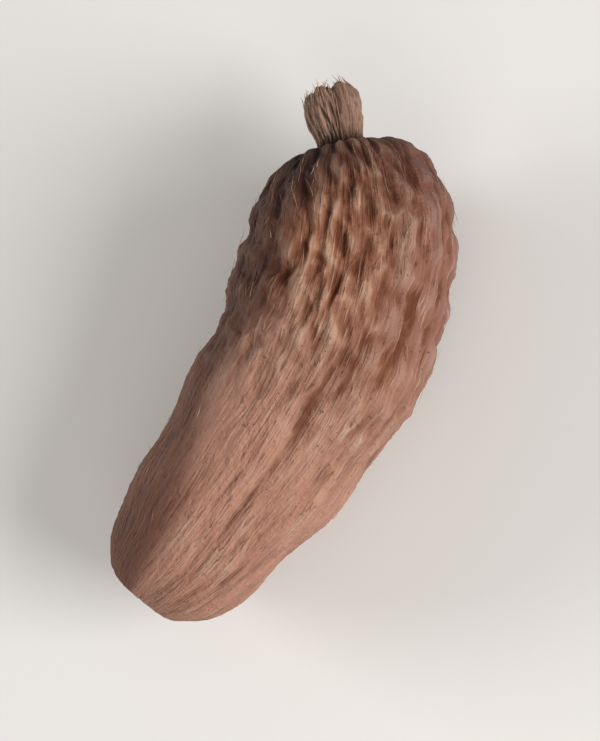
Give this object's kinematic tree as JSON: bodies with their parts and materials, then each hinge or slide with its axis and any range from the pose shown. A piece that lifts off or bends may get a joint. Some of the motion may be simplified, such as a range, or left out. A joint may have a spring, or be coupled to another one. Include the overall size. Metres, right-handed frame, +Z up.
{
  "type": "black cardamom pod",
  "caption": "Dried spice pod lying on its side: blunt three-lobed husk with ragged lengthwise ribs, a stalk scar at one end and a short dried flower stub at the other.",
  "frame": {"origin": "middle of the pod's length and width, on the surface that it lies on", "axes": "+X along the pod towards the flower stub, +Z up from the surface"},
  "size_m": [0.036, 0.0152, 0.0137],
  "materials": {
    "husk": "dry fibrous husk, matt, dusty on its ribs and darker in its furrows"
  },
  "bodies": {
    "root": {"pod": "husk"}
  },
  "joints": []
}
